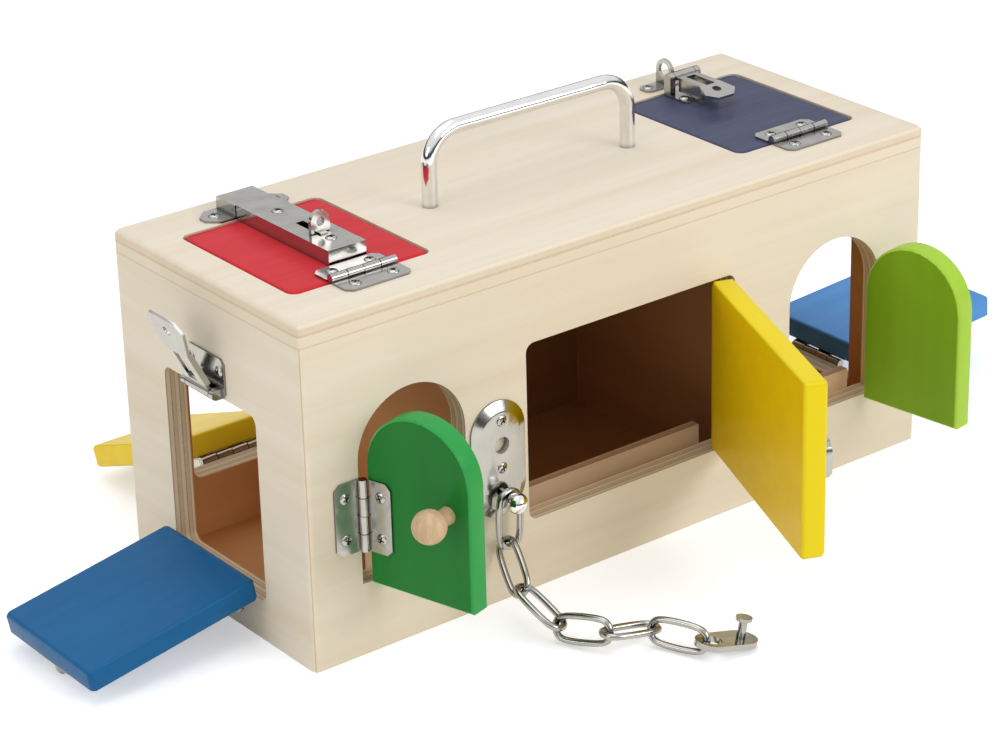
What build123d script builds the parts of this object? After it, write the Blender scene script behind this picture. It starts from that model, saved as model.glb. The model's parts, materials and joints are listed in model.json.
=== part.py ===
from build123d import *
import os
from math import acos, atan2, cos, degrees, hypot, radians, sin

os.makedirs("parts", exist_ok=True)

# Box
box_length = 400.0
box_depth = 160.0
box_height = 182.0
wall = 12.0
top_thickness = 12.0
floor_thickness = 6.0
corner_round = 3.0
top_edge_bevel = 2.0
partition_thickness = 8.0
wall_height = box_height - top_thickness

# Front openings: an arch near each end, a post beside it, and the middle opening between the posts
arch_from_end = 62.0
arch_width = 64.0
post_width = 38.0
sill_height = 38.5
opening_height = 96.0
opening_round = 5.0
arch_centre = box_length / 2 - arch_from_end
middle_width = 2 * arch_centre - arch_width - 2 * post_width
post_centre = (middle_width + post_width) / 2

# End and rear openings
end_opening_width = 80.0
end_sill_height = 22.0
end_opening_height = 100.0
rear_opening_from_end = 62.0
rear_opening_centre = rear_opening_from_end - box_length / 2

# Lids
lid_from_end = 60.0
lid_width = 80.0
lid_length = 95.0
lid_gap = 1.2
lid_round = 4.0
lid_centre = box_length / 2 - lid_from_end

# Doors and flaps
door_thickness = 12.0
door_edge_bevel = 1.2
door_corner_bevel = 2.0
hinge_gap = 1.2
free_gap = 1.8
side_gap = 0.8

# Butt hinges
hinge_length = 38.0
barrel_radius = 2.3
axis_height = 2.4
leaf_thickness = 1.2
leaf_start = 2.8
leaf_width = 15.5
leaf_bevel = 3.0
leaf_lap = 0.5
barrel_sides = 10
bore_sides = 6
pin_radius = 1.1
running_clearance = 0.05
knuckle_gap = 0.3
front_hinge_height = 76.5
knuckle_pitch = hinge_length / 4
knuckle_length = knuckle_pitch - knuckle_gap

# Stop strips behind the doors
strip_thickness = 5.0
strip_lap = 11.0
strip_drop = 8.0
arch_strip_length = 44.0
middle_strip_past_left = 8.0
middle_strip_short_right = 14.0
flap_strip_width = 12.0
flap_strip_length = 60.0
rear_strip_length = 46.0
lid_strip_length = 62.0
strip_overlap = 4.0
middle_strip_left = -middle_width / 2 - middle_strip_past_left
middle_strip_right = middle_width / 2 - middle_strip_short_right

# Carrying handle
handle_from_lid = 36.0
handle_wire_radius = 4.0
handle_height = 38.5
handle_bend = 17.0
handle_sides = 16
handle_screw_sides = 12
handle_screw_radius = 2.0
handle_screw_head_radius = 4.0
handle_screw_head = 2.5
handle_screw_depth = 9.0
handle_centres = 2 * (lid_centre - lid_width / 2 - handle_from_lid)

# Sliding lock on the red lid
lock_off_centre = 3.6
lock_width = 22.0
lock_front = -31.0
lock_rear = 48.0
lock_height = 8.0
sheet = 1.2
lock_post_radius = 3.6
lock_post_rear = 28.0
lock_post_front = -17.7
bolt_lift = 0.4
bolt_thickness = 5.0
bolt_side_clearance = 0.3
bolt_travel = 13.0
bolt_front = -12.5
bolt_rear = 47.0
eye_slot_width = 4.6
eye_stem_width = 4.0
eye_stem_length = 8.0
eye_centre = -8.0
eye_radius = 5.5
eye_thickness = 2.4
eye_hole_radius = 2.3
keeper_front = 49.2
keeper_rear = 66.4
keeper_height = 7.4
keeper_span = 50.0
keeper_corner = 6.0
lock_centre = lock_off_centre - lid_centre

# Slotted hasps
hasp_width = 32.0
hasp_base_length = 18.0
hasp_barrel_radius = 2.6
hasp_ear_width = 3.6
hasp_strap_thickness = 1.5
hasp_hole_radius = 2.6
hasp_hole_from_tip = 8.0
hasp_corner = 5.0
hasp_plate_bevel = 2.5
hasp_flange = 1.2
hasp_flange_start = 5.0
staple_length = 10.0
staple_thickness = 2.0
staple_wire = 2.2
staple_sides = 16
end_pivot_height = 4.5
end_pivot_above_opening = 3.5
end_strap_width = 20.0
end_strap_web = 25.0
end_fan_length = 21.0
end_fan_tilt = 6.0
end_flange_depth = 2.2
end_slot_start = 6.0
end_slot_length = 18.0
end_slot_width = 8.0
end_staple_reach = 11.3
end_staple_height = 9.0
end_staple_radius = 4.0
left_strap_angle = 27.0
right_strap_angle = 0.0
navy_pivot_y = 44.0
navy_pivot_height = 10.0
navy_base_width = 24.0
navy_strap_width = 14.0
navy_strap_web = 22.0
navy_fan_width = 21.0
navy_fan_length = 14.0
navy_fan_tilt = 14.0
navy_flange_depth = 7.0
navy_slot_start = 6.0
navy_slot_length = 17.0
navy_slot_width = 6.0
navy_staple_reach = 14.5
navy_staple_height = 15.0
navy_staple_radius = 6.5

# Barrel bolts
barrel_bolt_radius = 3.0
barrel_bolt_centre = 4.6
barrel_bolt_width = 18.0
barrel_guide_length = 4.0
barrel_guide_margin = 2.0
barrel_guide_width = 11.0
barrel_guide_height = 8.6
barrel_stub_radius = 1.5
barrel_stub_reach = 9.0
barrel_tail = 1.0
barrel_tip = 0.4
barrel_plate_bevel = 2.0
barrel_keeper_length = 6.0
barrel_keeper_gap = 0.8
barrel_keeper_clearance = 0.4
light_green_bolt_length = 33.5
light_green_bolt_margin = 1.0
rear_bolt_length = 30.0
rear_bolt_margin = 1.0

# Knob on the green door
knob_radius = 8.5
knob_neck_radius = 4.5
knob_neck_length = 7.0
knob_from_hinge = 48.5
knob_rise = 12.5
ball_bands = 4

# Door chain
anchor_width = 33.0
anchor_top = 110.5
anchor_bottom = 48.0
anchor_rim = 1.0
anchor_thickness = 4.0
anchor_slope = 6.0
anchor_hole_radius = 4.5
anchor_hole_height = 87.7
anchor_centre = -post_centre
stud_height = 60.3
stud_neck_radius = 2.0
stud_ball_radius = 5.5
stud_ball_reach = 14.8
link_reach = 8.4
link_wire_radius = 1.8
link_wire_sides = 8
link_turn_steps = 5
link_bend = 6.7
link_straight = 17.0
link_clearance = 0.3
end_plate_thickness = 3.0
end_hole_sides = 12
button_neck_radius = 2.2
button_neck_length = 9.0
button_head_radius = 4.2
button_head_thickness = 1.6
button_clearance = 0.5
track_width = 20.0
track_from_middle = 0.5
track_height = 6.0
track_wall = 1.5
track_corner = 4.0
track_channel_width = 13.0
track_end_wall = 4.0
track_slot_width = 5.2
track_slot_end = 7.0
track_rise = 10.0
track_from_edge = 8.0
yellow_length = middle_width - hinge_gap - free_gap
track_length = yellow_length / 2 - track_from_middle - track_from_edge

# Opening angles as the box stands
green_angle = 74.0
yellow_angle = 68.0
light_green_angle = 98.5
right_flap_angle = 86.5

# Chain as it hangs and lies: each link's place round the bend before it, and its swing there
link_bends = ((-21.0, -50.0), (-18.0, -16.0), (-8.0, 36.5), (-6.0, 60.0), (-59.0, 2.0), (5.0, -60.0))

# Outer faces, each with its local Y up and its local Z outward
front_face = Plane((0, -box_depth / 2, 0), x_dir=(1, 0, 0), z_dir=(0, -1, 0))
rear_face = Plane((0, box_depth / 2, 0), x_dir=(-1, 0, 0), z_dir=(0, 1, 0))
left_face = Plane((-box_length / 2, 0, 0), x_dir=(0, -1, 0), z_dir=(-1, 0, 0))
right_face = Plane((box_length / 2, 0, 0), x_dir=(0, 1, 0), z_dir=(1, 0, 0))
top_face = Plane((0, 0, box_height), x_dir=(1, 0, 0), z_dir=(0, 0, 1))


def hinge_frame(face, spot, toward, opening):
    """Axis along X, the door reaching along Y, its outer side along Z."""
    origin = face.from_local_coords((spot[0], spot[1], axis_height))
    flat = face.x_dir * toward[0] + face.y_dir * toward[1]
    reach = flat * cos(radians(opening)) + face.z_dir * sin(radians(opening))
    out = face.z_dir * cos(radians(opening)) - flat * sin(radians(opening))
    return Plane(origin, x_dir=reach.cross(out), z_dir=out)


def seat(frame, x, y, z):
    return Plane(frame.from_local_coords((x, y, z)), x_dir=frame.x_dir, z_dir=frame.z_dir)


def across(frame, x):
    """Plane square to the frame's X: its own X is the frame's Y, its own Y the frame's Z."""
    return Plane(frame.from_local_coords((x, 0, 0)), x_dir=frame.y_dir, z_dir=frame.x_dir)


def along(frame, y):
    """Plane square to the frame's Y: its own X is the frame's Z, its own Y the frame's X."""
    return Plane(frame.from_local_coords((0, y, 0)), x_dir=frame.z_dir, z_dir=frame.y_dir)


def bore(radius, sides=bore_sides):
    """Many-sided hole, with its flats touching a circle of the given radius."""
    return RegularPolygon(radius, sides, major_radius=False, rotation=90 - 180 / sides, mode=Mode.SUBTRACT)


def add_leaf(frame, side, starts, bore_radius):
    with BuildSketch(frame.offset(-axis_height)) as plate:
        with Locations((0, side * (leaf_start + leaf_width) / 2)):
            Rectangle(hinge_length, leaf_width - leaf_start)
        chamfer(plate.vertices().sort_by(Axis((0, 0, 0), (0, side, 0)))[-2:], leaf_bevel)
    extrude(plate.sketch, amount=leaf_thickness)
    for start in starts:
        with BuildSketch(across(frame, start)) as knuckle:
            with Locations((side * (leaf_start + leaf_lap) / 2, leaf_thickness / 2 - axis_height)):
                Rectangle(leaf_start + leaf_lap, leaf_thickness)
            RegularPolygon(barrel_radius, barrel_sides)
            bore(bore_radius)
        extrude(knuckle.sketch, amount=knuckle_length)


def ball_on_neck(base, neck_radius, ball_radius, ball_height):
    """A ball turned in one piece with its neck, standing on the base plane."""
    first = acos(neck_radius / ball_radius)
    turn = (first + radians(90)) / ball_bands
    angles = [step * turn - first for step in range(ball_bands)]
    with BuildSketch(across(base, 0)) as profile:
        with BuildLine():
            Polyline(
                (0, 0),
                (neck_radius, 0),
                *[(ball_radius * cos(angle), ball_height + ball_radius * sin(angle)) for angle in angles],
                (0, ball_height + ball_radius),
                close=True,
            )
        make_face()
    revolve(profile.sketch, axis=Axis(base.origin, base.z_dir))


def save(part, name):
    part.label = name
    export_step(part, f"parts/{name}.step")


# Hinge frames of the eight doors, closed and as the box stands
arch_jamb = arch_centre + arch_width / 2 - hinge_gap / 2
middle_jamb = middle_width / 2 - hinge_gap / 2
end_axis = end_sill_height + hinge_gap / 2
rear_axis = sill_height + hinge_gap / 2
lid_axis = -(lid_length / 2 + hinge_gap / 2)

# The left flap rests on its staple, the rear flap on the guide of its bolt
staple_on_flap = end_opening_height - hinge_gap / 2 + end_pivot_above_opening - end_staple_reach
staple_eye = end_staple_height - end_staple_radius - axis_height
flap_rest_reach = hypot(staple_on_flap, staple_eye)
flap_rest_drop = (end_staple_radius - end_axis) / flap_rest_reach
left_flap_angle = degrees(acos(flap_rest_drop) - atan2(staple_eye, staple_on_flap))
rear_door_length = opening_height - hinge_gap - free_gap
rear_bolt_start = hinge_gap / 2 + rear_door_length - rear_bolt_margin - rear_bolt_length
rear_guide_end = rear_bolt_start + rear_bolt_length - barrel_guide_margin
rear_guide_top = barrel_guide_height - axis_height
rear_rest_reach = hypot(rear_guide_end, rear_guide_top)
rear_flap_angle = degrees(acos(-rear_axis / rear_rest_reach) - atan2(rear_guide_top, rear_guide_end))

places = {
    "green": (front_face, (-arch_jamb, front_hinge_height), (1, 0), green_angle),
    "yellow": (front_face, (middle_jamb, front_hinge_height), (-1, 0), yellow_angle),
    "light_green": (front_face, (arch_jamb, front_hinge_height), (-1, 0), light_green_angle),
    "left_flap": (left_face, (0, end_axis), (0, 1), left_flap_angle),
    "right_flap": (right_face, (0, end_axis), (0, 1), right_flap_angle),
    "rear_flap": (rear_face, (-rear_opening_centre, rear_axis), (0, 1), rear_flap_angle),
    "red_lid": (top_face, (-lid_centre, lid_axis), (0, 1), 0.0),
    "navy_lid": (top_face, (lid_centre, lid_axis), (0, 1), 0.0),
}
closed = {name: hinge_frame(place[0], place[1], place[2], 0.0) for name, place in places.items()}
rest = {name: hinge_frame(*place) for name, place in places.items()}

# Hasp frames: Y from the hinge towards the staple, Z outward
end_pivot = end_sill_height + end_opening_height + end_pivot_above_opening


def hasp_frame(face, x, y, height, toward):
    origin = face.from_local_coords((x, y, height))
    reach = face.y_dir * toward
    return Plane(origin, x_dir=reach.cross(face.z_dir), z_dir=face.z_dir)


def strap_frame(base, angle):
    reach = base.z_dir * sin(radians(angle)) - base.y_dir * cos(radians(angle))
    out = base.z_dir * cos(radians(angle)) + base.y_dir * sin(radians(angle))
    return Plane(base.origin, x_dir=reach.cross(out), z_dir=out)


left_hasp = hasp_frame(left_face, 0, end_pivot, end_pivot_height, -1)
right_hasp = hasp_frame(right_face, 0, end_pivot, end_pivot_height, -1)
navy_hasp = hasp_frame(top_face, lid_centre, navy_pivot_y, navy_pivot_height, 1)
left_staple = seat(rest["left_flap"], 0, staple_on_flap, -axis_height)
right_staple = seat(rest["right_flap"], 0, staple_on_flap, -axis_height)
navy_staple = seat(top_face, lid_centre, navy_pivot_y + navy_staple_reach, 0)

# Front wall, mitred at both ends, with two arched openings and one rectangular one
half_length = box_length / 2
half_depth = box_depth / 2
with BuildPart() as front_wall:
    with BuildSketch():
        with BuildLine():
            Polyline(
                (-half_length, -half_depth),
                (half_length, -half_depth),
                (half_length - wall, wall - half_depth),
                (wall - half_length, wall - half_depth),
                close=True,
            )
        make_face()
        RectangleRounded(box_length, box_depth, corner_round, mode=Mode.INTERSECT)
    extrude(amount=wall_height)
    with BuildSketch(front_face):
        with Locations((0, sill_height + opening_height / 2)):
            RectangleRounded(middle_width, opening_height, opening_round)
        for side in (-1, 1):
            with Locations((side * arch_centre, sill_height + (opening_height - arch_width / 2) / 2)):
                Rectangle(arch_width, opening_height - arch_width / 2)
            with Locations((side * arch_centre, sill_height + opening_height - arch_width / 2)):
                Circle(arch_width / 2)
    extrude(amount=-wall, mode=Mode.SUBTRACT)
save(front_wall.part, "front_wall")

# Rear wall with one opening
with BuildPart() as rear_wall:
    with BuildSketch():
        with BuildLine():
            Polyline(
                (-half_length, half_depth),
                (half_length, half_depth),
                (half_length - wall, half_depth - wall),
                (wall - half_length, half_depth - wall),
                close=True,
            )
        make_face()
        RectangleRounded(box_length, box_depth, corner_round, mode=Mode.INTERSECT)
    extrude(amount=wall_height)
    with BuildSketch(rear_face):
        with Locations((-rear_opening_centre, sill_height + opening_height / 2)):
            RectangleRounded(arch_width, opening_height, opening_round)
    extrude(amount=-wall, mode=Mode.SUBTRACT)
save(rear_wall.part, "rear_wall")

# End walls, each with one opening
for side, face, name in ((-1, left_face, "left_end_wall"), (1, right_face, "right_end_wall")):
    with BuildPart() as end_wall:
        with BuildSketch():
            with BuildLine():
                Polyline(
                    (side * half_length, -half_depth),
                    (side * half_length, half_depth),
                    (side * (half_length - wall), half_depth - wall),
                    (side * (half_length - wall), wall - half_depth),
                    close=True,
                )
            make_face()
            RectangleRounded(box_length, box_depth, corner_round, mode=Mode.INTERSECT)
        extrude(amount=wall_height)
        with BuildSketch(face):
            with Locations((0, end_sill_height + end_opening_height / 2)):
                RectangleRounded(end_opening_width, end_opening_height, opening_round)
        extrude(amount=-wall, mode=Mode.SUBTRACT)
    save(end_wall.part, name)

# Top panel with two lid openings and holes for the handle's screws
handle_feet = ((-handle_centres / 2, 0), (handle_centres / 2, 0))
with BuildPart() as top_panel:
    with BuildSketch(Plane.XY.offset(wall_height)):
        RectangleRounded(box_length, box_depth, corner_round)
        with Locations((-lid_centre, (lid_gap - hinge_gap) / 2), (lid_centre, (lid_gap - hinge_gap) / 2)):
            RectangleRounded(
                lid_width + 2 * lid_gap,
                lid_length + lid_gap + hinge_gap,
                lid_round + lid_gap,
                mode=Mode.SUBTRACT,
            )
        with Locations(*handle_feet):
            RegularPolygon(handle_screw_radius, handle_screw_sides, mode=Mode.SUBTRACT)
    extrude(amount=top_thickness)
    chamfer(top_panel.faces().sort_by(Axis.Z)[-1].outer_wire().edges(), top_edge_bevel)
save(top_panel.part, "top_panel")

# Bottom panel, set inside the walls
inner_length = box_length - 2 * wall
inner_depth = box_depth - 2 * wall
with BuildPart() as bottom_panel:
    with BuildSketch():
        Rectangle(inner_length, inner_depth)
    extrude(amount=floor_thickness)
save(bottom_panel.part, "bottom_panel")

# Cross partitions that make three compartments
for side, name in ((-1, "left_partition"), (1, "right_partition")):
    with BuildPart() as partition:
        with BuildSketch(Plane.XY.offset(floor_thickness)):
            with Locations((side * post_centre, 0)):
                Rectangle(partition_thickness, inner_depth)
        extrude(amount=wall_height - floor_thickness)
    save(partition.part, name)

# Stop strips that the closed doors, flaps and lids come to rest against
sill_strip = strip_drop + strip_lap
sill_strip_middle = sill_height - strip_drop + sill_strip / 2
flap_strip_edge = flap_strip_width / 2 - strip_overlap - free_gap
with BuildPart() as stop_strips:
    with BuildSketch(front_face.offset(-wall)):
        with Locations(((middle_strip_left + middle_strip_right) / 2, sill_strip_middle)):
            Rectangle(middle_strip_right - middle_strip_left, sill_strip)
        with Locations((-arch_centre, sill_strip_middle), (arch_centre, sill_strip_middle)):
            Rectangle(arch_strip_length, sill_strip)
    extrude(amount=-strip_thickness)
    for face in (left_face, right_face):
        with BuildSketch(face.offset(-wall)):
            with Locations((0, end_sill_height + end_opening_height + flap_strip_edge)):
                Rectangle(flap_strip_length, flap_strip_width)
        extrude(amount=-strip_thickness)
    with BuildSketch(rear_face.offset(-wall)):
        with Locations((-rear_opening_centre, sill_height + opening_height + flap_strip_edge)):
            Rectangle(rear_strip_length, flap_strip_width)
    extrude(amount=-strip_thickness)
    with BuildSketch(top_face.offset(-top_thickness)):
        lid_strip_y = lid_length / 2 + flap_strip_width / 2 - strip_overlap
        with Locations((-lid_centre, lid_strip_y), (lid_centre, lid_strip_y)):
            Rectangle(lid_strip_length, flap_strip_width)
    extrude(amount=-strip_thickness)
save(stop_strips.part, "stop_strips")

# Bent wire handle and the two screws that hold it from below
with BuildPart() as carry_handle:
    with BuildLine():
        FilletPolyline(
            (-handle_centres / 2, 0, box_height),
            (-handle_centres / 2, 0, box_height + handle_height),
            (handle_centres / 2, 0, box_height + handle_height),
            (handle_centres / 2, 0, box_height),
            radius=handle_bend,
        )
    with BuildSketch(Plane((-handle_centres / 2, 0, box_height))):
        RegularPolygon(handle_wire_radius, handle_sides)
    sweep()
    with BuildSketch(Plane.XY.offset(box_height)):
        with Locations(*handle_feet):
            RegularPolygon(handle_screw_radius, handle_screw_sides)
    extrude(amount=handle_screw_depth, mode=Mode.SUBTRACT)
save(carry_handle.part, "carry_handle")

with BuildPart() as handle_screws:
    with BuildSketch(Plane.XY.offset(wall_height)):
        with Locations(*handle_feet):
            RegularPolygon(handle_screw_radius, handle_screw_sides)
    extrude(amount=top_thickness + handle_screw_depth)
    with BuildSketch(Plane.XY.offset(wall_height)):
        with Locations(*handle_feet):
            RegularPolygon(handle_screw_head_radius, handle_screw_sides)
    extrude(amount=-handle_screw_head)
save(handle_screws.part, "handle_screws")

# Hinge leaves on the box and their pins
frame_knuckles = (-hinge_length / 2, knuckle_gap / 2)
door_knuckles = (-knuckle_pitch + knuckle_gap / 2, knuckle_pitch + knuckle_gap)
with BuildPart() as hinge_frame_leaves:
    for frame in closed.values():
        add_leaf(frame, -1, frame_knuckles, pin_radius)
save(hinge_frame_leaves.part, "hinge_frame_leaves")

with BuildPart() as hinge_pins:
    for frame in closed.values():
        with BuildSketch(across(frame, -hinge_length / 2)):
            Circle(pin_radius)
        extrude(amount=hinge_length)
save(hinge_pins.part, "hinge_pins")

# Hinge leaves on the doors
leaf_names = {
    "green": "green_door_hinge_leaf",
    "yellow": "yellow_door_hinge_leaf",
    "light_green": "light_green_door_hinge_leaf",
    "left_flap": "left_flap_hinge_leaf",
    "right_flap": "right_flap_hinge_leaf",
    "rear_flap": "rear_flap_hinge_leaf",
    "red_lid": "red_lid_hinge_leaf",
    "navy_lid": "navy_lid_hinge_leaf",
}
for name, node in leaf_names.items():
    with BuildPart() as door_leaf:
        add_leaf(rest[name], 1, door_knuckles, pin_radius + running_clearance)
    save(door_leaf.part, node)

# Arched doors
sill_drop = front_hinge_height - sill_height - side_gap
spring_rise = sill_height + opening_height - arch_width / 2 - front_hinge_height
arch_door_width = arch_width - hinge_gap - free_gap
arch_door_middle = hinge_gap / 2 + arch_door_width / 2
for name, up, node in (("green", -1, "green_door"), ("light_green", 1, "light_green_door")):
    frame = rest[name]
    with BuildPart() as arched_door:
        with BuildSketch(frame.offset(-axis_height)):
            with Locations((up * (spring_rise - sill_drop) / 2, arch_door_middle)):
                Rectangle(spring_rise + sill_drop, arch_door_width)
            with Locations((up * spring_rise, arch_door_middle)):
                Circle(arch_door_width / 2)
        extrude(amount=-door_thickness)
        rims = arched_door.faces().sort_by(Axis(frame.origin, frame.z_dir))
        chamfer(rims[0].edges() + rims[-1].edges(), door_edge_bevel)
    save(arched_door.part, node)

# Rectangular doors and flaps: width across the hinge, length from the hinge, shift along it
door_middle = sill_height + opening_height / 2 - front_hinge_height
flap_width = end_opening_width - 2 * side_gap
flap_length = end_opening_height - hinge_gap - free_gap
panels = (
    ("yellow", opening_height - 2 * side_gap, yellow_length, door_middle, "yellow_door"),
    ("left_flap", flap_width, flap_length, 0, "left_flap"),
    ("right_flap", flap_width, flap_length, 0, "right_flap"),
    ("rear_flap", arch_width - 2 * side_gap, rear_door_length, 0, "rear_flap"),
)
for name, width, length, shift, node in panels:
    frame = rest[name]
    with BuildPart() as panel:
        with BuildSketch(frame.offset(-axis_height)) as outline:
            with Locations((shift, hinge_gap / 2 + length / 2)):
                Rectangle(width, length)
            chamfer(outline.vertices(), door_corner_bevel)
        extrude(amount=-door_thickness)
        rims = panel.faces().sort_by(Axis(frame.origin, frame.z_dir))
        chamfer(rims[0].edges() + rims[-1].edges(), door_edge_bevel)
    save(panel.part, node)

# Lids, with rounded corners
for name in ("red_lid", "navy_lid"):
    frame = rest[name]
    with BuildPart() as lid:
        with BuildSketch(frame.offset(-axis_height)):
            with Locations((0, hinge_gap / 2 + lid_length / 2)):
                RectangleRounded(lid_width, lid_length, lid_round)
        extrude(amount=-door_thickness)
        chamfer(lid.faces().sort_by(Axis.Z)[-1].edges(), door_edge_bevel)
    save(lid.part, name)

# Sliding lock: housing on the red lid, bolt with its eye, keeper on the top panel
lock_length = lock_rear - lock_front
lock_middle = (lock_rear + lock_front) / 2
slot_front = eye_centre - eye_stem_length / 2 - bolt_side_clearance
slot_rear = eye_centre + eye_stem_length / 2 + bolt_travel + bolt_side_clearance
with BuildPart() as red_lock_housing:
    with BuildSketch(top_face):
        with Locations((lock_centre, lock_middle)):
            Rectangle(lock_width, lock_length)
    extrude(amount=lock_height)
    with BuildSketch(top_face):
        with Locations((lock_centre, lock_middle + sheet)):
            Rectangle(lock_width - 2 * sheet, lock_length)
    extrude(amount=lock_height - sheet, mode=Mode.SUBTRACT)
    with BuildSketch(top_face):
        with Locations((lock_centre, lock_post_front), (lock_centre, lock_post_rear)):
            RegularPolygon(lock_post_radius, barrel_sides)
    extrude(amount=lock_height - sheet)
    with BuildSketch(top_face.offset(lock_height)):
        with Locations((lock_centre, (slot_front + slot_rear) / 2)):
            Rectangle(eye_slot_width, slot_rear - slot_front)
    extrude(amount=-sheet, mode=Mode.SUBTRACT)
save(red_lock_housing.part, "red_lock_housing")

bolt_width = lock_width - 2 * sheet - 2 * bolt_side_clearance
post_slot_front = lock_post_rear - lock_post_radius - bolt_side_clearance - bolt_travel
post_slot_rear = lock_post_rear + lock_post_radius + bolt_side_clearance
eye_foot = box_height + bolt_lift + bolt_thickness
eye_plane = Plane(
    (lock_centre, eye_centre + eye_thickness / 2, box_height + lock_height + bolt_lift),
    x_dir=(1, 0, 0),
    z_dir=(0, -1, 0),
)
with BuildPart() as red_lock_bolt:
    with BuildSketch(top_face.offset(bolt_lift)):
        with Locations((lock_centre, (bolt_front + bolt_rear) / 2)):
            Rectangle(bolt_width, bolt_rear - bolt_front)
        with Locations((lock_centre, (post_slot_front + post_slot_rear) / 2)):
            Rectangle(
                2 * (lock_post_radius + bolt_side_clearance),
                post_slot_rear - post_slot_front,
                mode=Mode.SUBTRACT,
            )
    extrude(amount=bolt_thickness)
    with BuildSketch(Plane.XY.offset(eye_foot)):
        with Locations((lock_centre, eye_centre)):
            Rectangle(eye_stem_width, eye_stem_length)
    extrude(amount=lock_height - bolt_thickness + bolt_lift)
    with BuildSketch(eye_plane):
        with Locations((0, eye_radius / 2)):
            Rectangle(2 * eye_radius, eye_radius)
        with Locations((0, eye_radius)):
            Circle(eye_radius)
            bore(eye_hole_radius, barrel_sides)
    extrude(amount=eye_thickness)
save(red_lock_bolt.part, "red_lock_bolt")

keeper_middle = (keeper_front + keeper_rear) / 2
keeper_depth = keeper_rear - keeper_front
with BuildPart() as red_lock_keeper:
    with BuildSketch(top_face) as keeper_plate:
        with Locations((lock_centre, keeper_middle)):
            Rectangle(keeper_span, keeper_depth)
        chamfer(keeper_plate.vertices(), keeper_corner)
    extrude(amount=sheet)
    with BuildSketch(top_face):
        with Locations((lock_centre, keeper_middle)):
            Rectangle(lock_width, keeper_depth)
    extrude(amount=keeper_height)
    with BuildSketch(top_face):
        with Locations((lock_centre, keeper_middle)):
            Rectangle(lock_width - 2 * sheet, keeper_depth)
    extrude(amount=keeper_height - sheet, mode=Mode.SUBTRACT)
save(red_lock_keeper.part, "red_lock_keeper")


# Slotted hasps: hinged base, strap with a fan-shaped grip, staple
def hasp_base(base, height, width, strap_width):
    ear_start = strap_width / 2 + knuckle_gap
    with BuildPart() as made:
        with BuildSketch(base.offset(-height)) as plate:
            with Locations((0, (hasp_barrel_radius - hasp_base_length) / 2)):
                Rectangle(width, hasp_base_length + hasp_barrel_radius)
            chamfer(plate.vertices(), hasp_plate_bevel)
        extrude(plate.sketch, amount=sheet)
        for start in (-ear_start - hasp_ear_width, ear_start):
            with BuildSketch(across(base, start)) as ear:
                with Locations((0, -height / 2)):
                    Rectangle(2 * hasp_barrel_radius, height)
                RegularPolygon(hasp_barrel_radius, barrel_sides)
            extrude(ear.sketch, amount=hasp_ear_width)
        with BuildSketch(across(base, -ear_start)) as pin:
            Circle(pin_radius)
        extrude(pin.sketch, amount=2 * ear_start)
    return made.part


def hasp_strap(strap, width, web, fan_width, fan_length, tilt, flange, slot):
    fan_out = strap.z_dir * cos(radians(tilt)) + strap.y_dir * sin(radians(tilt))
    fan = Plane(strap.from_local_coords((0, web, 0)), x_dir=strap.x_dir, z_dir=fan_out)
    slot_start, slot_length, slot_width = slot
    with BuildPart() as made:
        with BuildSketch(strap.offset(-hasp_strap_thickness / 2)) as flat:
            with Locations((0, web / 2)):
                Rectangle(width, web)
        extrude(flat.sketch, amount=hasp_strap_thickness)
        with BuildSketch(fan.offset(-hasp_strap_thickness / 2)) as grip:
            with BuildLine():
                Polyline(
                    (-width / 2, -hasp_strap_thickness / 4),
                    (width / 2, -hasp_strap_thickness / 4),
                    (fan_width / 2, fan_length - hasp_corner),
                    (fan_width / 2 - hasp_corner, fan_length),
                    (hasp_corner - fan_width / 2, fan_length),
                    (-fan_width / 2, fan_length - hasp_corner),
                    close=True,
                )
            make_face()
        extrude(grip.sketch, amount=hasp_strap_thickness)
        for start in (-width / 2, width / 2 - hasp_flange):
            with BuildSketch(across(strap, start)) as side_flange:
                with Locations(((hasp_flange_start + web) / 2, (hasp_strap_thickness / 2 - flange) / 2)):
                    Rectangle(web - hasp_flange_start, flange + hasp_strap_thickness / 2)
            extrude(side_flange.sketch, amount=hasp_flange)
        with BuildSketch(across(strap, -width / 2)) as barrel:
            RegularPolygon(hasp_barrel_radius, barrel_sides)
        extrude(barrel.sketch, amount=width)
        with BuildSketch(across(strap, -width / 2)) as barrel_bore:
            RegularPolygon(
                pin_radius + running_clearance,
                bore_sides,
                major_radius=False,
                rotation=90 - 180 / bore_sides,
            )
        extrude(barrel_bore.sketch, amount=width, mode=Mode.SUBTRACT)
        with BuildSketch(strap.offset(-web / 2)) as opening:
            with Locations((0, slot_start + slot_length / 2)):
                Rectangle(slot_width, slot_length)
        extrude(opening.sketch, amount=web, mode=Mode.SUBTRACT)
        with BuildSketch(fan.offset(-hasp_strap_thickness)) as grip_hole:
            with Locations((0, fan_length - hasp_hole_from_tip)):
                RegularPolygon(hasp_hole_radius, barrel_sides)
        extrude(grip_hole.sketch, amount=2 * hasp_strap_thickness, mode=Mode.SUBTRACT)
    return made.part


def hasp_staple(staple, height, radius):
    with BuildPart() as made:
        with BuildSketch(staple) as plate:
            Rectangle(hasp_width, staple_length)
            chamfer(plate.vertices(), hasp_plate_bevel)
        extrude(plate.sketch, amount=sheet)
        with BuildSketch(across(staple, -staple_thickness / 2)) as eye:
            with Locations((0, (height - radius) / 2)):
                Rectangle(2 * radius, height - radius)
            with Locations((0, height - radius)):
                RegularPolygon(radius, staple_sides)
                RegularPolygon(radius - staple_wire, staple_sides, mode=Mode.SUBTRACT)
        extrude(eye.sketch, amount=staple_thickness)
    return made.part


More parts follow.
